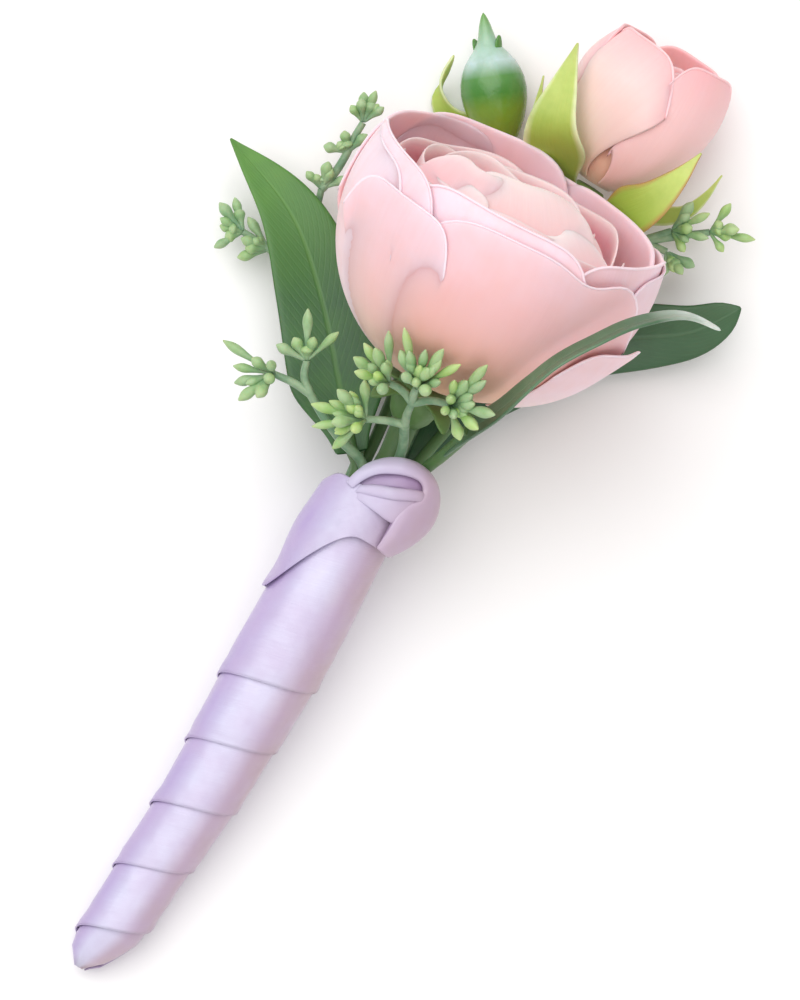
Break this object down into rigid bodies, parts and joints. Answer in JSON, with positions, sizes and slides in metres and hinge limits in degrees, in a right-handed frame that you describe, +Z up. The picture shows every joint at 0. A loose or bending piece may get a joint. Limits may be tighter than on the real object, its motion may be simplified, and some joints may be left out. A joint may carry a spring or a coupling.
{
  "type": "boutonniere",
  "caption": "Buttonhole flower: a cupped rose, a smaller rosebud and a green bud with leaves and seeded sprigs, their stems bound and wrapped in satin ribbon.",
  "frame": {"origin": "centre of the bounding box at the surface that the part lies on", "axes": "+Y from the ribbon's tip to the flowers, +Z up, +X to the right of someone looking down with the flowers ahead"},
  "size_m": [0.0634, 0.1322, 0.0437],
  "materials": {
    "satin_ribbon": "lilac satin ribbon",
    "floral_tape": "matte green waxed paper tape",
    "rose_petal": "soft pale pink petal",
    "rosebud_petal": "soft peach pink petal",
    "sepal_green": "satin yellow green sepal and stem",
    "bud_green": "smooth green calyx with a faint bloom",
    "leaf_green": "dark green leaf, slightly glossy",
    "leaf_underside": "pale grey green underside of a leaf",
    "seed_green": "light green seed bud with a pale bloom"
  },
  "bodies": {
    "root": {"ribbon": "satin_ribbon", "stem_tape": "floral_tape", "rose_bloom": "rose_petal", "rose_stem": "sepal_green", "rosebud_bloom": "rosebud_petal", "rosebud_stem": "sepal_green", "green_bud": "bud_green", "leaf_left": "leaf_green", "leaf_right": "leaf_green", "leaf_front": "leaf_underside", "sprig_front_left": "seed_green", "sprig_front": "seed_green", "sprig_right": "seed_green", "sprig_back_left": "seed_green"}
  },
  "joints": []
}
